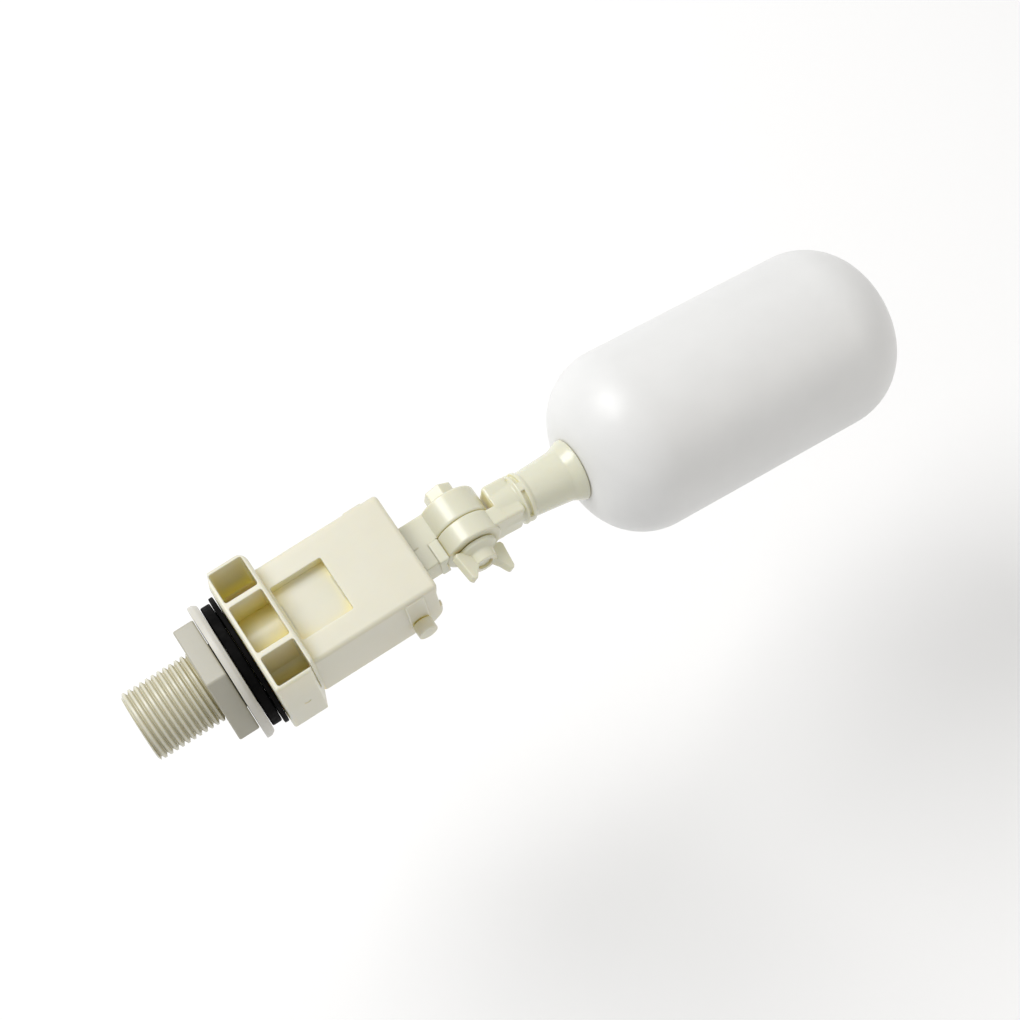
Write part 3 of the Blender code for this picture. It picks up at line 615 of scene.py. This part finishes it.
# ---------------------------------------------------------------- float
def float_skin():
    """A hollow shell that tapers a little to its tail, with a short neck inside the stem."""
    nose = (FLOAT_START + NOSE_ROUND, NOSE_RADIUS - NOSE_ROUND)
    # The tail's round stops a millimetre short of the end, which stands proud at its middle.
    tail = (FLOAT_END - 1 - TAIL_ROUND, TAIL_RADIUS - TAIL_ROUND)
    outline = [(23.2, 4.2), (23.2, 5.5), (FLOAT_START, 5.5)]
    outline += arc(nose, NOSE_ROUND, pi, pi / 2, 24) + arc(tail, TAIL_ROUND, pi / 2, 0, 24)
    outline += [(FLOAT_END, 0), (FLOAT_END - FLOAT_WALL, 0)]
    outline += arc(tail, TAIL_ROUND - FLOAT_WALL, 0, pi / 2, 24)
    outline += arc(nose, NOSE_ROUND - FLOAT_WALL, pi / 2, pi, 24)
    outline += [(FLOAT_START + FLOAT_WALL, 4.2)]
    return lathe("float_skin", outline, STEM @ TURNED_ON_X, 160)


# ---------------------------------------------------------------- stage, in metres
def stage():
    """A pale floor that the float clears when it hangs, and an even white world."""
    mesh = bpy.data.meshes.new("floor")
    corners = ((-FLOOR_REACH, -FLOOR_REACH), (FLOOR_REACH, -FLOOR_REACH))
    corners += ((FLOOR_REACH, FLOOR_REACH), (-FLOOR_REACH, FLOOR_REACH))
    mesh.from_pydata([(x, y, FLOOR_HEIGHT) for x, y in corners], [], [(0, 1, 2, 3)])
    floor = bpy.data.objects.new("floor", mesh)
    bpy.context.scene.collection.objects.link(floor)
    made, _, shader = shader_of("floor_paper")
    shader.inputs["Base Color"].default_value = (0.97, 0.97, 0.97, 1)
    shader.inputs["Roughness"].default_value = 0.9
    mesh.materials.append(made)
    world = bpy.data.worlds.new("studio")
    world.use_nodes = True
    world.node_tree.nodes["Background"].inputs["Color"].default_value = (1, 1, 1, 1)
    world.node_tree.nodes["Background"].inputs["Strength"].default_value = 0.6
    bpy.context.scene.world = world
    bpy.context.scene.view_settings.view_transform = "Standard"


def area_light(name, place, size, power, colour=(1, 1, 1)):
    """A rectangular light that faces the middle of the valve."""
    data = bpy.data.lights.new(name, "AREA")
    data.shape = "RECTANGLE"
    data.size, data.size_y = size
    data.energy = power
    data.color = colour
    obj = bpy.data.objects.new(name, data)
    obj.location = place
    obj.rotation_euler = (VALVE_MIDDLE - Vector(place)).to_track_quat("-Z", "Y").to_euler()
    bpy.context.scene.collection.objects.link(obj)


def camera():
    """Looks down from the valve's right side, rolled so that the valve climbs to the right."""
    back = Vector(CAMERA_BACK).normalized()
    up = back.cross(Vector((1, 0, 0))).normalized()
    aim = Matrix((up.cross(back), up, back)).transposed().to_4x4()
    data = bpy.data.cameras.new("camera")
    data.lens = 90.1
    data.sensor_width = 36
    data.clip_start = 0.01
    obj = bpy.data.objects.new("camera", data)
    roll = Matrix.Rotation(-CAMERA_ROLL, 4, "Z")
    obj.matrix_world = Matrix.Translation(CAMERA_PLACE) @ aim @ roll
    bpy.context.scene.collection.objects.link(obj)
    bpy.context.scene.camera = obj


# ---------------------------------------------------------------- the scene
settle(thread_spigot(), "valve_body", "valve", SPIGOT, 40, False)
settle(body(), "valve_body", "valve", CREAM)
settle(gasket("seal_thin", -1.6, -0.3, 19.7, 0.3), "gasket_thin", "valve", RUBBER)
settle(gasket("seal_thick", -4.8, -1.9, 18.6, 0.5), "gasket_thick", "valve", RUBBER)
settle(flat_washer(), "clamp_washer", "washer", PALE)
settle(hex_nut(), "lock_nut", "nut", NUT)
settle(pin(), "pivot_pin", "valve", CREAM)
settle(arm(), "lever_arm", "lever", ARM)
settle(screw(), "clamp_screw", "lever", ARM)
settle(wing_nut(), "wing_nut", "wing_nut", ARM)
settle(stem(), "float_stem", "float", ARM, place=STEM)
settle(float_skin(), "float_shell", "float", MILKY, 50)

# Pieces hidden inside the valve keep their CAD shapes.
for name, look in (("plunger", CREAM), ("plunger_seal", RUBBER), ("float_plug", MILKY)):
    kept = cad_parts[name]
    kept.data.materials.clear()
    kept.data.materials.append(look)
for cutter in CUTTERS:
    bpy.data.objects.remove(cutter)

stage()
camera()
area_light("key", (-0.2, 0.45, 0.75), (0.5, 0.5), 5.6)
area_light("fill", (0.6, -0.4, 0.5), (0.6, 0.6), 0.6, (1.0, 0.9, 0.75))
